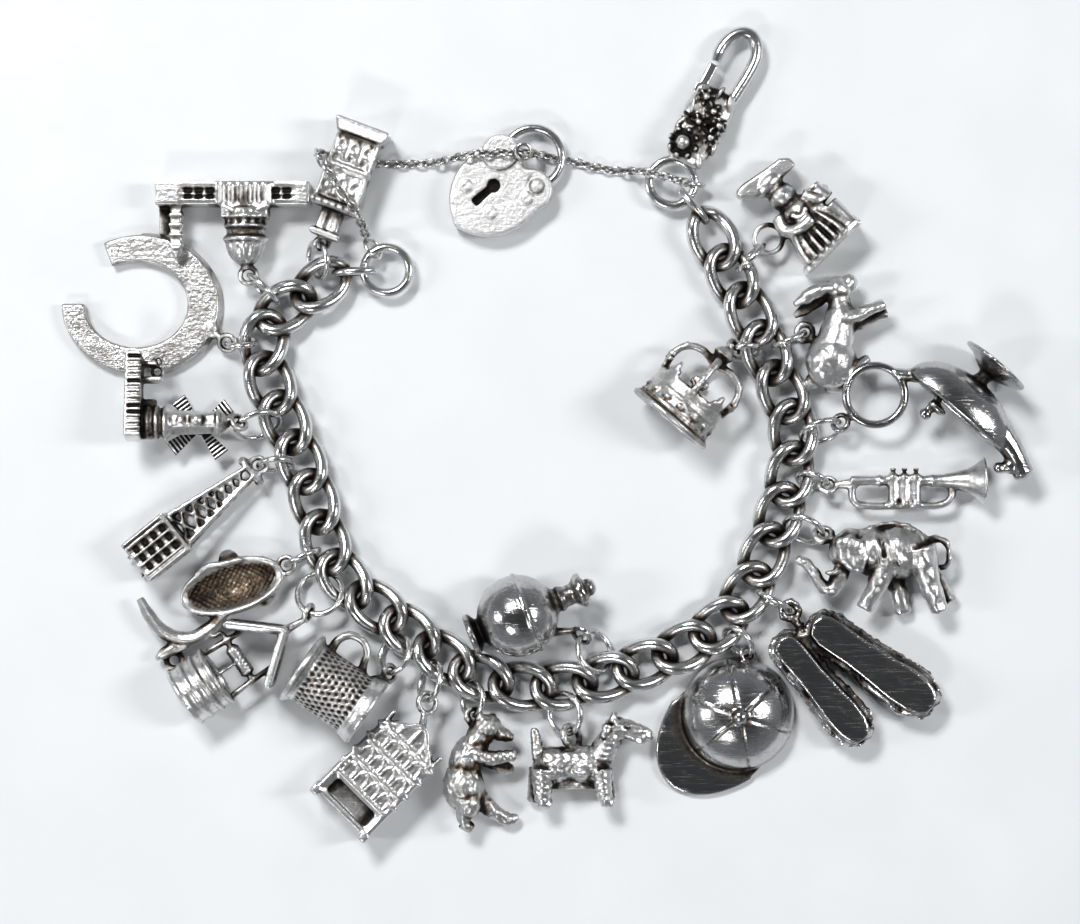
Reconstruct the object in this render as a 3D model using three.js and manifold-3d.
// Silver curb chain bracelet with twenty cast charms, lying open on a table.
// Millimetres. X runs to the right, Y away from the viewer and Z up from the table.

import * as THREE from 'three';
import { mergeVertices } from 'three/addons/utils/BufferGeometryUtils.js';
import Module from 'manifold-3d';

const wasm = await Module();
wasm.setup();

// Driving dimensions

const GAP = 0.3;
const WELD = 1e-4;
const RAD = Math.PI / 180;

const CURB = { halfLength: 4.02, halfWidth: 2.72, twist: 0.68, wire: 0.84, pitch: 6.0, height: 2.5 };
const CURB_ROLL = 5;
const CURB_STEPS = 10;
const SAFETY = { radius: 0.5, steps: 48 };
const JUMP_WIRE = 0.36;
const BAIL = { radius: 1.15, wire: 0.38, stem: 0.42, steps: 8, sides: 4 };
const END_RING = { radius: 3.2, wire: 0.6, x: -21.5, y: 26.9, z: 2.25 };
const RING_STEPS = 10;
const WIRE_SIDES = 5;
const FINE_SIDES = 5;

// Centre line of the curb chain on the table, from the end ring round to the clasp
const CHAIN_PATH = [
  { x: -28.4, y: 26.6 },
  { x: -32.3, y: 23.6 },
  { x: -37.1, y: 20.4 },
  { x: -38.9, y: 15.4 },
  { x: -37.3, y: 9.6 },
  { x: -35.0, y: 4.0 },
  { x: -32.9, y: -1.6 },
  { x: -31.1, y: -7.2 },
  { x: -29.7, y: -12.4 },
  { x: -26.6, y: -17.4 },
  { x: -21.7, y: -21.2 },
  { x: -16.8, y: -24.9 },
  { x: -12.0, y: -28.3 },
  { x: -6.6, y: -30.7 },
  { x: 0.0, y: -31.6 },
  { x: 7.0, y: -30.7 },
  { x: 14.0, y: -28.6 },
  { x: 20.4, y: -25.8 },
  { x: 25.6, y: -22.4 },
  { x: 29.3, y: -17.8 },
  { x: 31.8, y: -12.2 },
  { x: 33.9, y: -6.2 },
  { x: 35.4, y: 0.2 },
  { x: 35.2, y: 6.4 },
  { x: 32.9, y: 12.2 },
  { x: 30.9, y: 17.6 },
  { x: 28.2, y: 23.4 },
  { x: 25.2, y: 29.4 },
  { x: 23.0, y: 34.0 },
];
const CONNECTING = { halfLength: 2.8, halfWidth: 1.55, twist: 0, wire: 0.55 };
const START_LINK = { x: -25.9, y: 26.7, z: 2.25, heading: 4 };
const CLASP_LINK = { x: 21.45, y: 35.92, z: 2.3, heading: 130 };

// Centre line of the fine safety chain: over and under the tiered tower, over the heart, under its shackle
const SAFETY_PATH = [
  { x: -24.2, y: 31.2, z: 2.3 },
  { x: -24.5, y: 32.3, z: 4.8 },
  { x: -25.2, y: 34.1, z: 7.6 },
  { x: -28.0, y: 38.2, z: 7.5 },
  { x: -29.9, y: 41.2, z: 7.4 },
  { x: -30.9, y: 42.9, z: 5.8 },
  { x: -30.9, y: 43.3, z: 3.2 },
  { x: -30.4, y: 43.2, z: 1.3 },
  { x: -28.6, y: 43.1, z: 0.6 },
  { x: -22.4, y: 42.0, z: 0.62 },
  { x: -16.0, y: 42.0, z: 0.62 },
  { x: -12.6, y: 42.4, z: 2.2 },
  { x: -10.2, y: 42.8, z: 4.6 },
  { x: -6.6, y: 43.1, z: 4.65 },
  { x: -3.6, y: 43.2, z: 4.6 },
  { x: -2.0, y: 43.2, z: 4.4 },
  { x: -0.9, y: 43.1, z: 3.2 },
  { x: -0.2, y: 43.1, z: 1.7 },
  { x: 1.3, y: 42.9, z: 0.64 },
  { x: 4.0, y: 42.4, z: 0.62 },
  { x: 8.0, y: 41.4, z: 0.62 },
  { x: 11.4, y: 40.9, z: 0.7 },
  { x: 13.9, y: 40.7, z: 2.9 },
  { x: 15.8, y: 40.3, z: 3.9 },
  { x: 18.6, y: 39.5, z: 3.95 },
  { x: 20.75, y: 39.0, z: 3.25 },
];
const SMALL_RINGS = [
  { x: -23.4, y: 29.95, z: 2.25, radius: 1.6, heading: 122, tilt: 62 },
  { x: -2.3, y: 43.3, z: 4.75, radius: 1.1, heading: 20, tilt: 20 },
  { x: 21.7, y: 38.9, z: 2.25, radius: 1.3, heading: -5, tilt: 90 },
];
const SMALL_RING_WIRE = 0.28;

// Finishes

const FINISH = {
  polished: { color: 0xd9dadb, roughness: 0.18, metalness: 1 },
  cast: { color: 0xb9b9b7, roughness: 0.34, metalness: 1 },
  oxidised: { color: 0x75746f, roughness: 0.42, metalness: 1 },
};

// Solids from plain geometry

function solidOf(geometry) {
  const bare = new THREE.BufferGeometry();
  bare.setAttribute('position', geometry.getAttribute('position').clone());
  if (geometry.index) bare.setIndex(geometry.index.clone());
  const welded = mergeVertices(bare, WELD);
  const corners = welded.index.array;
  const faces = [];
  for (let i = 0; i < corners.length; i += 3) {
    const [a, b, c] = [corners[i], corners[i + 1], corners[i + 2]];
    if (a !== b && b !== c && c !== a) faces.push(a, b, c);
  }
  return new wasm.Manifold(new wasm.Mesh({
    numProp: 3,
    vertProperties: new Float32Array(welded.attributes.position.array),
    triVerts: new Uint32Array(faces),
  }));
}

function geometryOf(solid) {
  const mesh = solid.getMesh();
  const geometry = new THREE.BufferGeometry();
  geometry.setAttribute('position', new THREE.BufferAttribute(new Float32Array(mesh.vertProperties), 3));
  geometry.setIndex(new THREE.BufferAttribute(new Uint32Array(mesh.triVerts), 1));
  geometry.computeVertexNormals();
  return geometry;
}

function join(solids) {
  return solids.reduce((whole, piece) => whole.add(piece));
}

function box([x0, x1], [y0, y1], [z0, z1]) {
  const shape = new THREE.BoxGeometry(x1 - x0, y1 - y0, z1 - z0);
  shape.translate((x0 + x1) / 2, (y0 + y1) / 2, (z0 + z1) / 2);
  return solidOf(shape);
}

// A box along X whose two ends have their own width, depth and middle height
function taper([x0, x1], start, end) {
  const shape = new THREE.BoxGeometry(1, 1, 1);
  const place = shape.getAttribute('position');
  for (let i = 0; i < place.count; i += 1) {
    const side = place.getX(i) < 0 ? start : end;
    place.setXYZ(
      i,
      place.getX(i) < 0 ? x0 : x1,
      place.getY(i) * side.width + (side.y ?? 0),
      place.getZ(i) * side.depth + (side.z ?? 0),
    );
  }
  return solidOf(shape);
}

// A straight rod between two points, with its own radius at each
function rod(from, to, radius, sides = 6, endRadius = radius) {
  const start = new THREE.Vector3(...from);
  const end = new THREE.Vector3(...to);
  const along = end.clone().sub(start);
  const shape = new THREE.CylinderGeometry(endRadius, radius, along.length(), sides);
  const turn = new THREE.Quaternion().setFromUnitVectors(new THREE.Vector3(0, 1, 0), along.clone().normalize());
  shape.applyQuaternion(turn);
  shape.translate(...start.add(end).multiplyScalar(0.5).toArray());
  return solidOf(shape);
}

function ball([x, y, z], [rx, ry, rz], around = 8, down = 4) {
  const shape = new THREE.SphereGeometry(1, around, down);
  shape.rotateX(Math.PI / 2);
  shape.scale(rx, ry, rz);
  shape.translate(x, y, z);
  return solidOf(shape);
}

function ring([x, y, z], radius, wire, steps = RING_STEPS, sides = FINE_SIDES, tilt = [0, 0]) {
  const shape = new THREE.TorusGeometry(radius, wire, sides, steps);
  shape.rotateX(tilt[0] * RAD);
  shape.rotateY(tilt[1] * RAD);
  shape.translate(x, y, z);
  return solidOf(shape);
}

// A solid turned about Z, tipped about X and moved
function moved(solid, { heading = 0, tip = 0, shift = [0, 0, 0], flat = 1 }) {
  const shape = geometryOf(solid);
  shape.scale(1, 1, flat);
  shape.rotateX(tip * RAD);
  shape.rotateZ(heading * RAD);
  shape.translate(...shift);
  return solidOf(shape);
}

// A flat plate cut to an outline and lying between two heights
function plate(outline, z0, z1) {
  const shape = new THREE.ExtrudeGeometry(outline, { depth: z1 - z0, bevelEnabled: false, curveSegments: 3 });
  shape.translate(0, 0, z0);
  return solidOf(shape);
}

function outlineOf(corners) {
  return new THREE.Shape(corners.map(([x, y]) => new THREE.Vector2(x, y)));
}

// A turned form about the X axis through the given point, from a closed profile of places and radii
function turned(profile, sides, [x, y, z] = [0, 0, 0]) {
  const shape = new THREE.LatheGeometry(profile.map(([along, radius]) => new THREE.Vector2(radius, along)), sides);
  shape.rotateZ(-Math.PI / 2);
  shape.translate(x, y, z);
  const body = solidOf(shape);
  return body.volume() < 0 ? solidOf(flipped(shape)) : body;
}

function flipped(geometry) {
  const other = geometry.clone();
  const corners = other.index.array;
  for (let i = 0; i < corners.length; i += 3) {
    [corners[i], corners[i + 1]] = [corners[i + 1], corners[i]];
  }
  return other;
}

// A bent wire along a curve, closed at both ends
function wireAlong(points, radius, steps, sides = FINE_SIDES) {
  const curve = new THREE.CatmullRomCurve3(points.map((point) => new THREE.Vector3(...point)));
  const corners = [];
  for (let i = 0; i < sides; i += 1) {
    const turn = (i / sides) * 2 * Math.PI;
    corners.push([radius * Math.cos(turn), radius * Math.sin(turn)]);
  }
  const shape = new THREE.ExtrudeGeometry(outlineOf(corners), { steps, extrudePath: curve, bevelEnabled: false });
  return solidOf(shape);
}

// One oval link, twisted so that its two long sides leave the plane of its ends
function link(size, steps, sides) {
  const shape = new THREE.TorusGeometry(1, size.wire, sides, steps);
  const place = shape.getAttribute('position');
  for (let i = 0; i < place.count; i += 1) {
    const turn = Math.atan2(place.getY(i), place.getX(i));
    const out = Math.hypot(place.getX(i), place.getY(i)) - 1;
    const normal = new THREE.Vector2(Math.cos(turn) * size.halfWidth, Math.sin(turn) * size.halfLength).normalize();
    place.setXYZ(
      i,
      Math.cos(turn) * size.halfLength + normal.x * out,
      Math.sin(turn) * size.halfWidth + normal.y * out,
      place.getZ(i) + size.twist * Math.sin(2 * turn),
    );
  }
  return shape;
}

// Curb chain

function chainCurve() {
  return new THREE.CatmullRomCurve3(CHAIN_PATH.map(({ x, y }) => new THREE.Vector3(x, y, CURB.height)));
}

function curbPlaces() {
  const curve = chainCurve();
  const count = Math.round(curve.getLength() / CURB.pitch);
  const places = [];
  for (let i = 0; i < count; i += 1) {
    const along = (i + 0.5) / count;
    places.push({ centre: curve.getPointAt(along), tangent: curve.getTangentAt(along), index: i });
  }
  return places;
}

function linkMatrix({ centre, tangent, index }) {
  const side = new THREE.Vector3(-tangent.y, tangent.x, 0);
  const up = new THREE.Vector3(0, 0, 1);
  const roll = CURB_ROLL * RAD * (index % 2 ? -1 : 1);
  return new THREE.Matrix4()
    .makeBasis(tangent, side, up)
    .setPosition(centre)
    .multiply(new THREE.Matrix4().makeRotationX(roll));
}

function curbChain() {
  const links = curbPlaces().map((place) => {
    const shape = link(CURB, CURB_STEPS, WIRE_SIDES);
    shape.applyMatrix4(linkMatrix(place));
    return solidOf(shape);
  });
  return join([...links, connectingLink(START_LINK), connectingLink(CLASP_LINK)]);
}

// A plain link on edge between the chain and what it fastens to
function connectingLink({ x, y, z, heading }) {
  const shape = link(CONNECTING, CURB_STEPS, WIRE_SIDES);
  shape.rotateX(Math.PI / 2);
  shape.rotateZ(heading * RAD);
  shape.translate(x, y, z);
  return solidOf(shape);
}

function endRing() {
  return ring([0, 0, 0], END_RING.radius, END_RING.wire, CURB_STEPS + 2, WIRE_SIDES);
}

// Safety chain

// The fine chain's thick outline; its links are modelled with the finished surfaces
function safetyChain() {
  const path = SAFETY_PATH.map(({ x, y, z }) => [x, y, z]);
  return join([wireAlong(path, SAFETY.radius, SAFETY.steps), ...SMALL_RINGS.map(smallRing)]);
}

function smallRing({ x, y, z, radius, heading, tilt }) {
  const shape = new THREE.TorusGeometry(radius, SMALL_RING_WIRE, FINE_SIDES, RING_STEPS);
  shape.rotateX(tilt * RAD);
  shape.rotateZ(heading * RAD);
  shape.translate(x, y, z);
  return solidOf(shape);
}

// Clasp

const CLASP = { x: 18.5, y: 39.2, z: 2.25, heading: 62.5 };
const CLASP_RING = { radius: 3.2, wire: 0.65 };
const CLASP_BODY = { start: 3.7, end: 14.6, width: 7.2, tip: 6.0, depth: 4.4 };
const HOOK = { centre: 19.4, halfLength: 4.1, halfWidth: 2.55, wire: 0.85, tail: 13.2 };
const GATE = { x: 13.5, y: 2.35, end: 17.45, eye: 1.15, pin: 0.35, width: 1.5, depth: 1.5 };

function claspBody() {
  const { start, end, width, tip, depth } = CLASP_BODY;
  const middle = (start + end) / 2;
  const barrel = join([
    taper([start - 0.6, middle], { width: width - 1.4, depth }, { width: width + 0.2, depth: depth + 0.2 }),
    taper([middle, end], { width: width + 0.2, depth: depth + 0.2 }, { width: tip, depth: depth - 0.6 }),
  ]);
  const slot = box([GATE.x - GATE.eye - GAP, end + 1], [0.5, width], [-1.1, 1.1]);
  const pin = rod([GATE.x, GATE.y, -1.6], [GATE.x, GATE.y, 1.6], GATE.pin, 6);
  const bead = ball([start + 1.8, 1.2, depth / 2 + 0.1], [1.05, 1.05, 1.05], 6, 4);
  return join([
    ring([0, 0, 0], CLASP_RING.radius, CLASP_RING.wire, RING_STEPS, WIRE_SIDES),
    barrel.subtract(slot),
    hookLoop(),
    pin,
    bead,
  ]);
}

// The hook: a long loop open on the gate's side
function hookLoop() {
  const { centre, halfLength, halfWidth, wire, tail } = HOOK;
  const points = [[tail, -2.1, 0]];
  const from = -75;
  const to = 112;
  for (let turn = from; turn <= to; turn += 17) {
    points.push([centre + halfLength * Math.cos(turn * RAD), halfWidth * Math.sin(turn * RAD), 0]);
  }
  return wireAlong(points, wire, 14, WIRE_SIDES);
}

function claspGate() {
  const { x, end, eye, width, depth, pin } = GATE;
  const eyeRing = rod([0, 0, -depth / 2], [0, 0, depth / 2], eye, 8);
  const bar = box([0.3, end - x], [-width / 2 + 0.1, width / 2 + 0.1], [-depth / 2, depth / 2]);
  const hole = rod([0, 0, -depth], [0, 0, depth], pin + GAP, 8);
  return join([eyeRing, bar]).subtract(hole);
}

// Heart padlock, with its tip at the origin and its lobes along X

const HEART = { bottom: 0.3, top: 3.7 };
const LOCK_PIVOT = { x: 12.3, y: -3.3, pin: 0.5, slot: 2.6, slotBottom: 1.2, slotTop: 3.05 };
const SHACKLE = { x: 14.6, y: 0.2, z: 2.12, radius: 4.1, wire: 0.6, from: -122, to: 100 };

function heartOutline() {
  const heart = new THREE.Shape();
  heart.moveTo(0, 0);
  heart.quadraticCurveTo(2.0, -6.0, 8.4, -6.1);
  heart.absarc(11.4, -3.2, 3.0, -1.9, 0.95, false);
  heart.lineTo(12.6, 0);
  heart.absarc(11.4, 3.2, 3.0, -0.95, 1.9, false);
  heart.quadraticCurveTo(2.0, 6.0, 0, 0);
  return heart;
}

function padlockBody() {
  const body = plate(heartOutline(), HEART.bottom, HEART.top);
  const { x, y, pin, slot, slotBottom, slotTop } = LOCK_PIVOT;
  const cut = rod([x, y, slotBottom], [x, y, slotTop], slot, 10);
  const catchCut = box([12.2, 16], [2.8, 5.6], [slotBottom, slotTop]);
  const keyhole = join([
    rod([5.6, 0, HEART.top - 1], [5.6, 0, HEART.top + 1], 0.85, 8),
    box([3.1, 5.6], [-0.35, 0.35], [HEART.top - 1, HEART.top + 1]),
  ]);
  const rivet = ball([x, y, HEART.top], [1.0, 1.0, 0.5], 6, 4);
  return join([
    body.subtract(cut).subtract(catchCut).subtract(keyhole),
    rod([x, y, slotBottom - 0.2], [x, y, slotTop + 0.2], pin, 6),
    rivet,
  ]);
}

// The shackle turns about the rivet, so its own origin is there
function padlockShackle() {
  const { x, y, pin } = LOCK_PIVOT;
  const points = [];
  for (let turn = SHACKLE.from; turn <= SHACKLE.to; turn += 18.5) {
    points.push([
      SHACKLE.x - x + SHACKLE.radius * Math.cos(turn * RAD),
      SHACKLE.y - y + SHACKLE.radius * Math.sin(turn * RAD),
      0,
    ]);
  }
  const eye = rod([0, 0, -SHACKLE.wire], [0, 0, SHACKLE.wire], 1.75, 8);
  const hole = rod([0, 0, -1], [0, 0, 1], pin + GAP, 8);
  return join([wireAlong(points, SHACKLE.wire, 14, WIRE_SIDES), eye]).subtract(hole);
}

// Bails: a small cast ring at each charm's top, square to its jump ring, on a stem from the charm

function bail({ x, y, z, radius = BAIL.radius, axis }, foot) {
  const centre = new THREE.Vector3(x, y, z);
  const shape = new THREE.TorusGeometry(radius, BAIL.wire, BAIL.sides, BAIL.steps);
  shape.applyQuaternion(new THREE.Quaternion().setFromUnitVectors(new THREE.Vector3(0, 0, 1), axis));
  shape.translate(x, y, z);
  const inward = new THREE.Vector3(...foot).sub(centre);
  inward.addScaledVector(axis, -inward.dot(axis)).normalize();
  const start = centre.addScaledVector(inward, radius).toArray();
  return join([solidOf(shape), rod(start, foot, BAIL.stem, BAIL.sides)]);
}

// Charms. Each lies with its long axis along X, its head or bail towards the chain, in its own frame

function tieredTower(top) {
  return join([
    box([0, 0.9], [-2.2, 2.2], [-1.9, 1.9]),
    box([0.8, 4.1], [-1.6, 1.6], [-1.5, 1.5]),
    box([4.0, 5.2], [-3.4, 3.4], [-2.6, 2.6]),
    box([5.1, 9.7], [-3.1, 3.1], [-2.3, 2.3]),
    box([9.6, 10.4], [-3.3, 3.3], [-2.35, 2.35]),
    taper([10.3, 14.8], { width: 5.9, depth: 4.5 }, { width: 6.2, depth: 4.7 }),
    taper([14.7, 16.4], { width: 6.8, depth: 5.6 }, { width: 8.0, depth: 7.2 }),
    bail(top, [0.6, 0, 0]),
  ]);
}

function domedBuilding(top) {
  return join([
    box([-11.2, 9.9], [2.0, 5.2], [0.1, 4.9]),
    box([-11.2, -9.6], [-2.0, 2.1], [0.3, 1.9]),
    box([-9.3, -7.7], [-4.9, 2.1], [2.9, 4.5]),
    taper([-2.4, 4.6], { width: 3.4, depth: 5.6, y: 0.6, z: 2.9 }, { width: 3.4, depth: 5.6, y: 0.6, z: 2.9 }),
    rod([1.1, 1.6, 3.2], [1.1, -2.8, 3.2], 3.1, 10, 3.0),
    ball([1.1, -2.8, 3.2], [2.9, 3.8, 2.9], 10, 6),
    bail(top, [1.1, -5.2, 3.2]),
  ]);
}

const HORSESHOE = { outerX: 11.1, outerY: 9.8, innerX: 7.2, innerY: 6.0, thick: 1.9, from: -181, to: 118, step: 23 };

function horseshoe(top) {
  const { outerX, outerY, innerX, innerY, thick, from, to, step } = HORSESHOE;
  const outer = [];
  const inner = [];
  for (let turn = from; turn <= to; turn += step) {
    outer.push([outerX * Math.cos(turn * RAD), outerY * Math.sin(turn * RAD)]);
    inner.unshift([innerX * Math.cos(turn * RAD) - 0.6, innerY * Math.sin(turn * RAD)]);
  }
  return join([
    plate(outlineOf([...outer, ...inner]), 0, thick),
    bail(top, [9.9, -3.4, 1.2]),
  ]);
}

const MILL = { roll: -12, hubX: 10.0, hubDrop: 3.05, bladeEnd: 5.1, bladeWidth: 2.4 };

function windmill(top) {
  return join([
    box([0, 2.5], [-2.6, 9.4], [-0.7, 3.4]),
    box([2.4, 5.2], [5.0, 8.4], [0.4, 2.6]),
    rod([2.4, 0, 0], [5.9, 0, 0], 2.1, 8, 1.95),
    rod([5.8, 0, 0], [13.0, 0, 0], 1.85, 5, 1.7),
    rod([12.9, 0, 0], [14.4, 0, 0], 1.9, 5, 0.5),
    ball([MILL.hubX, 0, 1.7], [0.9, 0.9, 0.9], 6, 4),
    rod([MILL.hubX, 0, 0], [MILL.hubX, 0, -MILL.hubDrop - 0.2], 0.4, 6),
    bail(top, [13.4, 0, 0]),
  ]);
}

// Four slatted blades in their own plane, turning on the mill's axle
function windmillSails() {
  const hub = rod([0, 0, -0.4], [0, 0, 0.4], 1.1, 8);
  const blades = [];
  for (let i = 0; i < 4; i += 1) {
    const blade = taper(
      [0.6, MILL.bladeEnd],
      { width: 1.0, depth: 0.6 },
      { width: MILL.bladeWidth, depth: 0.7 },
    );
    blades.push(moved(blade, { heading: 38 + i * 90 }));
  }
  return join([hub, ...blades]).subtract(rod([0, 0, -1], [0, 0, 1], 0.4 + GAP, 8));
}

function latticeTower(top) {
  const house = box([0, 7.3], [-3.2, 3.2], [-2.8, 2.8]).subtract(box([-1, 6.3], [-2.4, 2.4], [-2.1, 2.1]));
  const mast = taper([7.2, 20.2], { width: 5.1, depth: 4.6 }, { width: 2.0, depth: 1.9 });
  const well = taper([7.9, 18.6], { width: 3.6, depth: 3.3 }, { width: 0.9, depth: 0.9 });
  const gaps = [
    box([8.6, 10.4], [-1.5, 1.5], [-4, 4]),
    box([11.4, 12.8], [-1.2, 1.2], [-4, 4]),
  ];
  return join([
    house,
    gaps.reduce((rest, gap) => rest.subtract(gap), mast),
    box([20.1, 20.9], [-2.0, 2.0], [-1.1, 1.1]),
    bail(top, [20.4, 0, 0]),
  ]);
}

const HULL = { halfLength: 7.5, halfWidth: 3.7, depth: 3.0, wall: 0.7 };

function curledBoat(top) {
  const { halfLength, halfWidth, depth, wall } = HULL;
  const outer = ball([0, 0, depth], [halfLength, halfWidth, depth], 10, 6);
  const inner = ball([0, 0, depth + wall], [halfLength - 1.0, halfWidth - wall, depth], 8, 6);
  const above = box([-10, 10], [-6, 6], [depth + 0.2, 9]);
  const prow = [
    [-2.2, -3.2, 2.4], [-5.0, -4.8, 2.3], [-8.2, -5.2, 2.3], [-11.0, -3.4, 2.4], [-12.4, -0.4, 2.5], [-12.9, 2.2, 2.6],
  ];
  return join([
    outer.subtract(inner).subtract(above),
    wireAlong(prow, 1.15, 7),
    taper([-13.4, -8.4], { width: 0.8, depth: 1.0, y: -6.6, z: 1.8 }, { width: 2.8, depth: 2.2, y: -5.2, z: 1.9 }),
    ring([-11.0, -7.6, 1.2], 1.1, 0.45, 8, FINE_SIDES),
    ball([0.6, 3.7, 2.0], [1.2, 1.3, 1.0], 6, 4),
    ball([4.0, -2.9, 1.5], [1.4, 1.3, 1.3], 6, 4),
    bail(top, [6.6, 0.3, 2.0]),
  ]);
}

const WELL = { barrel: 4.3, wall: 0.8, height: 6.0, apex: 17.6, eaves: 11.2, reach: 5.4, post: 3.6 };

function wishingWell(top) {
  const { barrel, wall, height, apex, eaves, reach, post } = WELL;
  const inside = barrel - wall;
  const roof = outlineOf([
    [eaves, reach], [eaves - 0.5, reach - 0.7], [apex - 1.3, 0], [eaves - 0.5, 0.7 - reach],
    [eaves, -reach], [apex, 0],
  ]);
  return join([
    turned([[0, 0], [0, barrel], [height, barrel], [height, inside], [0.9, inside], [0.9, 0]], 10),
    plate(roof, -3.4, 3.4),
    box([height - 0.4, 13.2], [post - 0.4, post + 0.4], [-0.6, 0.6]),
    box([height - 0.4, 13.2], [-post - 0.4, -post + 0.4], [-0.6, 0.6]),
    rod([10.0, -post, 0], [10.0, post, 0], 0.95, 6),
    rod([7.4, post, 0], [7.4, post + 1.2, 0], 0.4, 5),
    bail(top, [16.9, 0, 0]),
  ]);
}

function tankard(top) {
  const cup = turned([
    [0, 0], [0, 5.5], [0.8, 5.5], [1.2, 4.45], [10.2, 4.45], [10.5, 5.0], [11.8, 5.0], [11.8, 4.3], [1.6, 3.7], [1.6, 0],
  ], 12);
  const handle = [[2.4, 4.0, -0.4], [2.5, 6.6, -0.8], [4.4, 8.0, -1.0], [6.8, 6.8, -1.0], [7.6, 4.2, -0.8]];
  return join([cup, wireAlong(handle, 0.6, 7, FINE_SIDES), bail(top, [9.6, 4.1, -1.5])]);
}

function throne(top) {
  const seat = box([0.2, 4.8], [-4.9, 4.9], [0.5, 6.0]).subtract(box([-1, 4.0], [-4.1, 4.1], [1.2, 5.2]));
  const crest = outlineOf([[13.4, 4.6], [13.4, -4.6], [15.0, -2.6], [14.4, -1.6], [17.2, 0], [14.4, 1.6], [15.0, 2.6]]);
  const legs = [-4.7, 4.7].map((y) => box([-0.8, 0.6], [y - 0.6, y + 0.6], [0.1, 6.3]));
  const spikes = [-1, 1].flatMap((side) => [5.4, 7.6].map((x) => (
    box([x, x + 0.7], [side * 4.6 - 0.8, side * 4.6 + 0.8], [3.6, 6.0]))));
  return join([
    seat,
    box([4.0, 13.6], [-4.5, 4.5], [4.7, 6.1]),
    plate(crest, 4.7, 6.0),
    ...legs,
    ...spikes,
    bail(top, [16.0, 0, 5.3]),
  ]);
}

function bear(top) {
  return join([
    ball([0, 0, 3.2], [3.0, 5.6, 3.0]),
    ball([3.6, 6.6, 3.4], [2.2, 1.9, 2.0], 6, 4),
    rod([4.4, 6.2, 3.3], [7.0, 5.2, 3.2], 1.1, 5, 0.8),
    rod([2.4, 3.0, 3.0], [7.2, 1.8, 2.2], 1.15, 5, 0.75),
    rod([1.4, 2.8, 5.0], [3.6, 3.0, 5.9], 1.0, 5, 0.7),
    rod([0.6, -3.0, 4.6], [0.8, -6.6, 3.9], 1.5, 5, 0.9),
    rod([1.8, -2.2, 2.4], [6.8, -6.6, 1.5], 1.5, 5, 0.9),
    bail(top, [0.8, 4.0, 3.0]),
  ]);
}

function terrier(top) {
  return join([
    ball([0, 0, 2.9], [5.4, 2.5, 2.5]),
    rod([-4.0, 1.0, 2.9], [-5.4, 5.6, 2.9], 1.0, 5, 0.6),
    rod([4.0, 1.0, 3.0], [6.0, 5.2, 3.2], 1.7, 5, 1.4),
    moved(box([-2.0, 1.9], [-1.5, 1.4], [2.0, 4.4]), { heading: -22, shift: [8.7, 5.0, 0] }),
    rod([4.2, -0.4, 4.2], [4.8, -5.3, 4.3], 1.1, 5, 1.0),
    rod([4.6, -0.4, 1.7], [5.6, -5.0, 1.3], 1.0, 5, 0.9),
    rod([-4.4, -0.4, 4.2], [-4.2, -5.5, 4.3], 1.4, 5, 0.9),
    rod([-4.9, -0.4, 1.7], [-5.6, -5.8, 1.2], 1.2, 5, 0.9),
    bail(top, [-0.1, 1.9, 2.9]),
  ]);
}

function ballFlask(top) {
  return join([
    ball([0, 0, 0], [5.8, 5.8, 5.8], 12, 7),
    turned([[-7.2, 0], [-7.2, 3.0], [-6.4, 3.0], [-5.4, 2.2], [-5.4, 0]], 8),
    turned([[4.8, 0], [4.8, 1.7], [8.6, 1.4], [9.2, 2.5], [10.0, 2.5], [10.4, 1.1], [11.6, 0.9], [11.6, 0]], 8),
    bail(top, [3.2, -3.9, -1.6]),
  ]);
}

const CAP = { radius: 8.0, height: 6.4, wall: 0.8, peak: 13.6, peakWidth: 7.4 };

function cap(top) {
  const { radius, height, wall, peak, peakWidth } = CAP;
  const dome = ball([0, 0, 0.4], [radius, radius, height], 12, 6);
  const hollow = ball([0, 0, 0.3], [radius - wall, radius - wall, height - wall], 10, 6);
  const below = box([-20, 20], [-20, 20], [-20, 0.4]);
  const brim = outlineOf([
    [radius - 3.0, peakWidth], [radius + 2.4, peakWidth - 2.0], [peak - 1.2, peakWidth - 4.4], [peak, 0],
    [peak - 1.2, 4.4 - peakWidth], [radius + 2.4, 2.0 - peakWidth], [radius - 3.0, -peakWidth],
  ]);
  const visor = plate(brim, 0.3, 1.3).subtract(ball([0, 0, 0.4], [radius - 0.5, radius - 0.5, height], 12, 6));
  return join([
    dome.subtract(below).subtract(hollow),
    visor,
    ball([0, 0, height + 0.5], [0.9, 0.9, 0.7], 6, 4),
    bail(top, [-5.3, -4.2, 1.6]),
  ]);
}

// One shoe lies sole upwards, from its heel along X
function shoe(length, width) {
  const sole = new THREE.Shape();
  sole.moveTo(0, 0);
  sole.quadraticCurveTo(0, width * 0.42, length * 0.16, width * 0.42);
  sole.bezierCurveTo(length * 0.4, width * 0.3, length * 0.6, width * 0.55, length * 0.85, width * 0.48);
  sole.quadraticCurveTo(length, width * 0.4, length, 0);
  sole.quadraticCurveTo(length, -width * 0.45, length * 0.8, -width * 0.5);
  sole.bezierCurveTo(length * 0.55, -width * 0.5, length * 0.4, -width * 0.28, length * 0.16, -width * 0.42);
  sole.quadraticCurveTo(0, -width * 0.42, 0, 0);
  return join([
    plate(sole, 4.4, 5.4),
    ball([length * 0.5, 0, 2.9], [length * 0.47, width * 0.42, 2.7]),
  ]);
}

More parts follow.
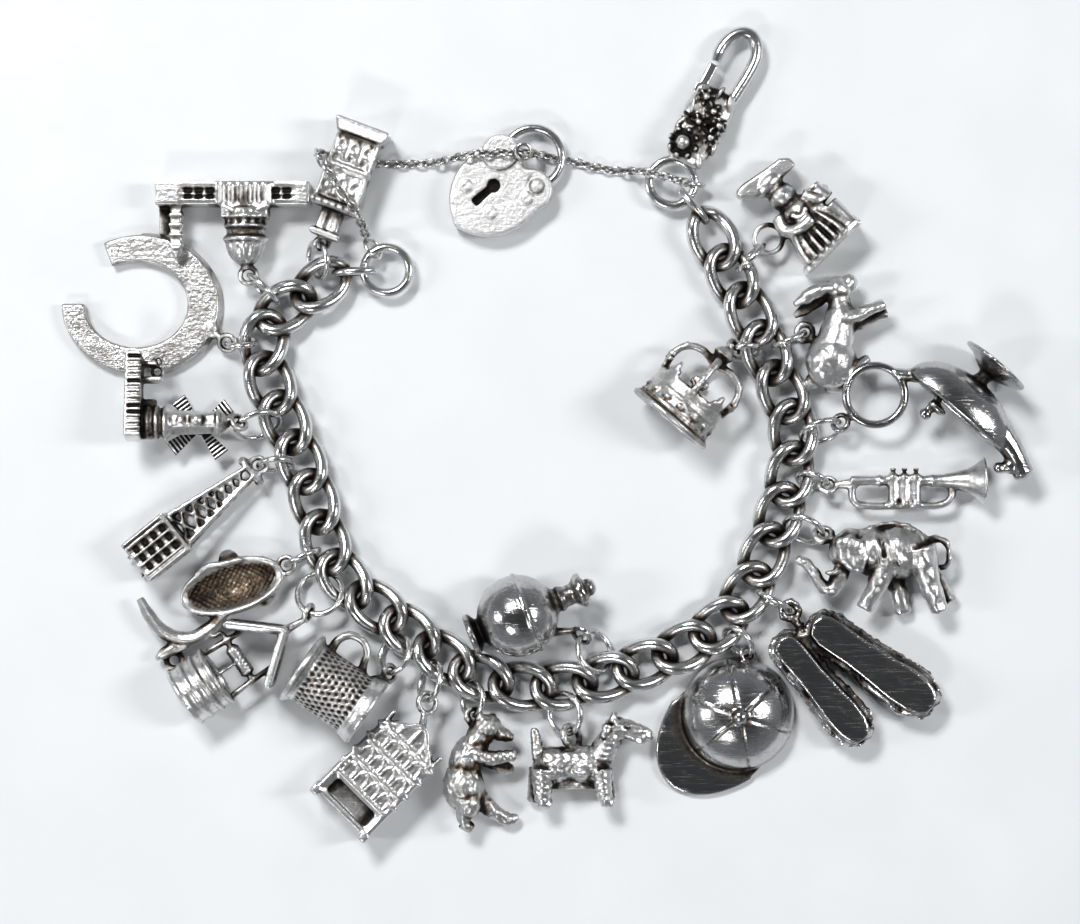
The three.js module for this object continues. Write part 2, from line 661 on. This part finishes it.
function shoePair(top) {
  const first = moved(shoe(18.4, 5.0), { heading: -50, shift: [-2.0, -3.2, 0] });
  const second = moved(shoe(20.6, 5.8), { heading: -35, shift: [2.6, -0.9, 0] });
  const bridge = rod([-1.2, -4.2, 3.2], [4.6, -2.0, 3.2], 1.3, 6);
  return join([first, second, bridge, bail(top, [1.6, -2.9, 3.1])]);
}

function elephant(top) {
  const trunk = [[-5.6, -1.0, 4.2], [-7.0, -4.6, 4.0], [-8.2, -5.0, 3.9], [-10.0, -3.0, 3.8], [-12.2, -0.6, 3.8]];
  return join([
    ball([0.6, 0.4, 3.6], [6.0, 3.8, 3.4]),
    ball([-5.4, 0.4, 4.0], [2.6, 2.9, 2.6]),
    plate(outlineOf([[-7.0, 2.0], [-3.6, 1.6], [-2.8, -2.4], [-6.4, -1.4]]), 5.6, 6.7),
    wireAlong(trunk, 0.85, 6),
    rod([0.6, -1.0, 5.2], [-2.8, -7.8, 4.8], 1.5, 5, 1.1),
    rod([0.8, -2.0, 2.2], [2.4, -8.8, 1.3], 1.4, 5, 1.1),
    rod([5.0, 0.6, 5.0], [7.6, -8.2, 4.2], 1.8, 5, 1.2),
    rod([4.4, -1.0, 2.2], [9.4, -6.4, 1.4], 1.6, 5, 1.1),
    wireAlong([[5.0, 1.8, 3.8], [8.6, 1.6, 3.8], [9.0, -1.0, 3.8], [7.4, -2.0, 3.8]], 0.4, 5, FINE_SIDES),
    bail(top, [-6.4, 1.4, 3.8]),
  ]);
}

function trumpet(top) {
  const bell = turned([
    [0, 0], [0, 0.75], [10.4, 0.75], [14.6, 1.3], [17.2, 2.0], [18.5, 3.1], [18.8, 3.1], [17.6, 1.2], [16.6, 0],
  ], 9);
  const loop = [
    [1.4, 0, 0], [0.4, -0.9, 0], [0.2, -2.2, 0], [1.2, -3.3, 0], [5.0, -3.5, 0], [10.0, -3.5, 0],
    [13.0, -3.3, 0], [14.0, -2.2, 0], [13.8, -1.0, 0],
  ];
  return join([
    bell,
    wireAlong(loop, 0.55, 11),
    box([5.4, 9.8], [-3.5, 0.4], [-1.3, 1.3]),
    ...[5.9, 7.4, 8.9].map((x) => rod([x, 0.3, 0], [x, 1.6, 0], 0.5, 6)),
    bail(top, [0.5, -0.6, 0]),
  ]);
}

const LAMP = { length: 21.5, depth: 5.4, halfWidth: 3.9, foot: 5.15 };

// The lamp lies on its side: its open top faces -Y and its foot faces +Y
function oilLamp(top) {
  const { length, depth, halfWidth, foot } = LAMP;
  const middle = 8.6;
  const hull = join([
    ball([middle, 0, 0], [8.8, depth, halfWidth], 10, 6),
    rod([15.2, 1.5, 0], [length, -0.4, 0], 1.9, 5, 1.5),
  ]);
  const inside = ball([middle, -0.6, 0], [7.6, depth - 1.2, halfWidth - 0.8], 8, 6);
  const above = box([-5, 30], [-12, 0], [-9, 9]);
  return join([
    hull.subtract(inside).subtract(above),
    rod([middle - 0.4, depth - 0.6, 0], [middle - 0.2, depth + 1.4, 0], 1.2, 5, 1.5),
    rod([middle - 0.2, depth + 1.2, 0], [middle - 0.1, depth + 3.2, 0], 2.2, 8, foot),
    ring([-1.5, -5.6, 0], 4.1, 0.55),
    rod([-1.6, -1.6, 0], [1.6, 1.4, 0], 0.8, 6),
    box([4.8, 6.2], [-3.2, 2.8], [-0.5, 0.5]),
    ball([5.5, -3.3, 0], [0.8, 0.8, 0.8], 6, 4),
    ball([length - 2.4, -0.9, 0], [1.2, 1.2, 1.2], 6, 4),
    bail(top, [-1.9, -9.5, -0.4]),
  ]);
}

function hare(top) {
  return join([
    ball([0, 0, 3.4], [3.6, 4.4, 3.3]),
    rod([0.4, 2.0, 3.3], [1.4, 8.4, 3.5], 2.7, 7, 1.6),
    ball([1.0, 9.6, 3.6], [2.6, 2.1, 1.9]),
    rod([-0.2, 9.4, 4.3], [-5.0, 7.4, 4.4], 0.9, 5, 0.6),
    rod([-0.2, 8.4, 2.6], [-5.0, 5.6, 2.2], 0.9, 5, 0.6),
    rod([1.8, 5.2, 4.6], [7.4, 7.2, 4.2], 0.9, 5, 0.8),
    rod([2.0, 4.4, 2.4], [8.0, 6.0, 2.0], 0.9, 5, 0.8),
    rod([1.0, -3.0, 3.6], [4.9, -0.6, 3.4], 0.9, 5, 0.7),
    ball([-1.9, -3.2, 2.4], [1.1, 1.0, 1.0], 6, 4),
    bail(top, [-1.8, 1.8, 3.0]),
  ]);
}

function figureJug(top) {
  return join([
    taper([0, 1.0], { width: 10.6, depth: 6.4 }, { width: 10.0, depth: 6.0 }),
    taper([0.9, 7.2], { width: 9.2, depth: 5.8 }, { width: 6.4, depth: 4.8 }),
    ball([10.2, 0, 0.3], [3.3, 3.0, 2.6]),
    plate(outlineOf([
      [12.0, -4.6], [14.2, -3.9], [15.2, -0.6], [15.6, 3.0], [14.6, 4.9], [12.6, 3.0], [12.4, -1.0],
    ]), -1.6, 1.7),
    rod([6.4, -0.6, 2.0], [5.0, -4.8, 1.0], 1.4, 5, 1.0),
    ball([6.6, -4.0, 1.0], [1.5, 1.5, 1.3], 6, 4),
    rod([2.2, -4.2, 0.4], [5.4, -4.0, 0.6], 1.2, 5, 1.3),
    bail(top, [6.4, 3.0, -0.2]),
  ]);
}

const CROWN = { rim: 6.4, band: 5.5, wall: 0.6, flat: 0.86 };

function crown(top) {
  const { rim, band, wall, flat } = CROWN;
  const circlet = turned([
    [0, band - wall], [0, rim], [0.8, rim], [1.2, band + 0.1], [6.0, band], [6.0, band - wall],
    [0, band - wall],
  ], 12);
  const arches = [0, 1].map(() => wireAlong([
    [5.2, -5.1, 0], [8.2, -5.4, 0], [10.4, -3.4, 0], [10.2, 0, 0], [10.4, 3.4, 0], [8.2, 5.4, 0], [5.2, 5.1, 0],
  ], 0.7, 8, 4)).map((arch, index) => moved(arch, { tip: index * 90 }));
  return join([
    moved(join([circlet, ...arches, ball([12.0, 0, 0], [1.4, 1.4, 1.4], 6, 5)]), { flat }),
    bail(top, [12.0, 0, -0.4]),
  ]);
}

// Where each charm lies, how it is turned, where its bail sits in its own frame, and the link that carries it.
// Side is -1 on the outside of the chain's loop and 1 on the inside.
const CHARMS = [
  { name: 'tiered_tower', build: tieredTower, x: -30.2, y: 31.4, z: 3.8, heading: 69.7,
    top: { x: -1.0, y: 0, z: 0 }, link: 0, side: -1, slide: -1.2, lean: 40 },
  { name: 'domed_building', build: domedBuilding, x: -42.3, y: 33.9, z: 0, heading: 0,
    top: { x: 1.5, y: -7.8, z: 3.1 }, link: 1, side: -1, slide: 0.9, lean: 10 },
  { name: 'horseshoe', build: horseshoe, x: -56.1, y: 22.1, z: 0, heading: 0,
    top: { x: 12.2, y: -5.4, z: 1.9 }, link: 2, side: -1, slide: 0.6, lean: -15 },
  { name: 'windmill', build: windmill, x: -57.7, y: 5.5, z: 5.0, heading: 0, roll: MILL.roll,
    top: { x: 15.7, y: 0, z: 0 }, link: 4, side: -1, slide: -0.6, lean: 40 },
  { name: 'lattice_tower', build: latticeTower, x: -56.4, y: -14.2, z: 2.85, heading: 39,
    top: { x: 21.8, y: 0, z: 0 }, link: 5, side: -1, slide: -0.6, lean: 20 },
  { name: 'curled_boat', build: curledBoat, x: -43.1, y: -17.4, z: 0, heading: 17,
    top: { x: 8.1, y: 0.6, z: 2.8 }, link: 7, side: -1, slide: 0.9, lean: 5 },
  { name: 'wishing_well', build: wishingWell, x: -49.9, y: -33.0, z: 4.3, heading: 33.7,
    top: { x: 21.2, y: 0.2, z: -0.7 }, link: 8, side: -1, slide: -1.2, lean: -70 },
  { name: 'tankard', build: tankard, x: -33.5, y: -28.4, z: 5.5, heading: -34.6,
    top: { x: 10.9, y: 6.1, z: -2.2 }, link: 10, side: -1, slide: -0.3, lean: -45 },
  { name: 'throne', build: throne, x: -27.8, y: -48.8, z: 0, heading: 45,
    top: { x: 19.2, y: 2.2, z: 3.8, radius: 1.4 }, link: 11, side: -1, slide: -0.3, lean: -30 },
  { name: 'bear', build: bear, x: -10.9, y: -43.7, z: 0, heading: 0,
    top: { x: 1.6, y: 8.1, z: 2.9 }, link: 12, side: -1, slide: -0.3, lean: -40 },
  { name: 'terrier', build: terrier, x: 4.5, y: -42.7, z: 0, heading: 0,
    top: { x: -0.1, y: 4.2, z: 2.9, radius: 1.6 }, link: 14, side: -1, slide: -0.6, lean: -50 },
  { name: 'ball_flask', build: ballFlask, x: -3.1, y: -21.4, z: 5.8, heading: 22,
    top: { x: 7.2, y: -6.0, z: -2.6 }, link: 15, side: 1, slide: 0, lean: -50 },
  { name: 'cap', build: cap, x: 27.8, y: -35.4, z: 0, heading: 225,
    top: { x: -6.9, y: -5.0, z: 1.9 }, link: 18, side: -1, slide: 0.6, lean: -35 },
  { name: 'shoe_pair', build: shoePair, x: 35.4, y: -21.4, z: 0, heading: 0,
    top: { x: -0.4, y: 0.6, z: 3.0 }, link: 19, side: -1, slide: 0.9, lean: -5 },
  { name: 'elephant', build: elephant, x: 48.2, y: -12.8, z: 0, heading: 0,
    top: { x: -8.6, y: 2.6, z: 3.4 }, link: 21, side: -1, slide: -0.9, lean: -35 },
  { name: 'trumpet', build: trumpet, x: 43.5, y: -2.6, z: 3.15, heading: 0,
    top: { x: -3.2, y: -0.6, z: -0.4 }, link: 22, side: -1, slide: -0.3, lean: -30 },
  { name: 'oil_lamp', build: oilLamp, x: 51.5, y: 12.6, z: 5.2, heading: -40.6,
    top: { x: -2.6, y: -11.6, z: -1.2 }, link: 23, side: -1, slide: -0.6, lean: -30 },
  { name: 'hare', build: hare, x: 40.7, y: 14.8, z: 0, heading: 0,
    top: { x: -3.6, y: 3.3, z: 2.7 }, link: 25, side: -1, slide: 0.6, lean: 0 },
  { name: 'figure_jug', build: figureJug, x: 41.1, y: 29.8, z: 3.25, heading: 134.6,
    top: { x: 7.4, y: 5.5, z: -0.4, radius: 2.0 }, link: 27, side: -1, slide: 0.9, lean: 5 },
  { name: 'crown', build: crown, x: 17.8, y: 5.7, z: 5.55, heading: 49.9,
    top: { x: 13.8, y: -0.6, z: -1.4 }, link: 25, side: 1, slide: 0.9, lean: 35 },
];

const PADLOCK = { x: -11.9, y: 33.0, z: 0, heading: 41 };

// Jump rings

// A place on a link's side wire, which a jump ring goes round
function sideWire({ link: index, side, slide }) {
  const turn = Math.asin(slide / CURB.halfLength);
  return new THREE.Vector3(slide, side * CURB.halfWidth * Math.cos(turn), -side * CURB.twist * Math.sin(2 * turn))
    .applyMatrix4(linkMatrix(curbPlaces()[index]));
}

function turnOf({ roll = 0, heading }) {
  return new THREE.Euler(roll * RAD, 0, heading * RAD, 'ZYX');
}

// A jump ring's place, from a link's side wire to a charm's bail, leaning so that it clears the table
function jumpPlace(charm) {
  const wire = sideWire(charm);
  const { x, y, z, radius: hold = BAIL.radius } = charm.top;
  const along = new THREE.Vector3(x, y, z)
    .applyEuler(turnOf(charm))
    .add(new THREE.Vector3(charm.x, charm.y, charm.z))
    .sub(wire);
  const inside = (along.length() - hold + CURB.wire + BAIL.wire + 2 * GAP) / 2;
  along.normalize();
  const centre = wire.clone().addScaledVector(along, inside - CURB.wire - GAP);
  const across = new THREE.Vector3(0, 0, 1)
    .addScaledVector(along, -along.z)
    .normalize()
    .applyAxisAngle(along, charm.lean * RAD);
  return { centre, radius: inside + JUMP_WIRE, along, across };
}

function jumpRing(charm) {
  const { centre, radius, along, across } = jumpPlace(charm);
  const shape = new THREE.TorusGeometry(radius, JUMP_WIRE, FINE_SIDES, RING_STEPS);
  shape.applyMatrix4(new THREE.Matrix4().makeBasis(along, across, new THREE.Vector3().crossVectors(along, across)));
  const mesh = meshOf(`${charm.name}_jump_ring`, solidOf(shape), 'polished');
  mesh.position.copy(centre);
  return mesh;
}

// A charm in its own frame, with its bail's axis along its jump ring's wire
function charmMesh(charm) {
  const back = new THREE.Quaternion().setFromEuler(turnOf(charm)).invert();
  const axis = jumpPlace(charm).across.applyQuaternion(back);
  return placed(meshOf(charm.name, charm.build({ ...charm.top, axis }), 'cast'), charm);
}

// Assembly

function meshOf(name, solid, finish) {
  const mesh = new THREE.Mesh(geometryOf(solid), new THREE.MeshStandardMaterial(FINISH[finish]));
  mesh.name = name;
  mesh.rotation.order = 'ZYX';
  return mesh;
}

function placed(mesh, { x = 0, y = 0, z = 0, heading = 0, roll = 0 }) {
  mesh.position.set(x, y, z);
  mesh.rotation.set(roll * RAD, 0, heading * RAD);
  return mesh;
}

// A part held in another's frame takes that frame's place and heading
function inFrame(frame, ...meshes) {
  const group = new THREE.Group();
  group.rotation.order = 'ZYX';
  placed(group, frame);
  group.add(...meshes);
  return group;
}

function bracelet() {
  const whole = new THREE.Group();
  whole.add(
    meshOf('curb_chain', curbChain(), 'polished'),
    placed(meshOf('end_ring', endRing(), 'polished'), END_RING),
    meshOf('safety_chain', safetyChain(), 'polished'),
    inFrame(
      CLASP,
      meshOf('clasp_body', claspBody(), 'oxidised'),
      placed(meshOf('clasp_gate', claspGate(), 'polished'), GATE),
    ),
    inFrame(
      PADLOCK,
      meshOf('padlock_body', padlockBody(), 'polished'),
      placed(meshOf('padlock_shackle', padlockShackle(), 'polished'), { ...LOCK_PIVOT, z: SHACKLE.z }),
    ),
  );
  for (const charm of CHARMS) whole.add(charmMesh(charm), jumpRing(charm));
  const mill = CHARMS.find((charm) => charm.name === 'windmill');
  const sails = placed(meshOf('windmill_sails', windmillSails(), 'cast'), { x: MILL.hubX, y: 0, z: -MILL.hubDrop });
  whole.add(inFrame(mill, sails));
  return whole;
}

// The origin is on the table under the middle of the bracelet's box
function centred(group) {
  group.updateMatrixWorld(true);
  const bounds = new THREE.Box3().setFromObject(group, true);
  group.position.set(-(bounds.min.x + bounds.max.x) / 2, -(bounds.min.y + bounds.max.y) / 2, -bounds.min.z);
  const root = new THREE.Group();
  root.add(group);
  return root;
}

export default centred(bracelet());
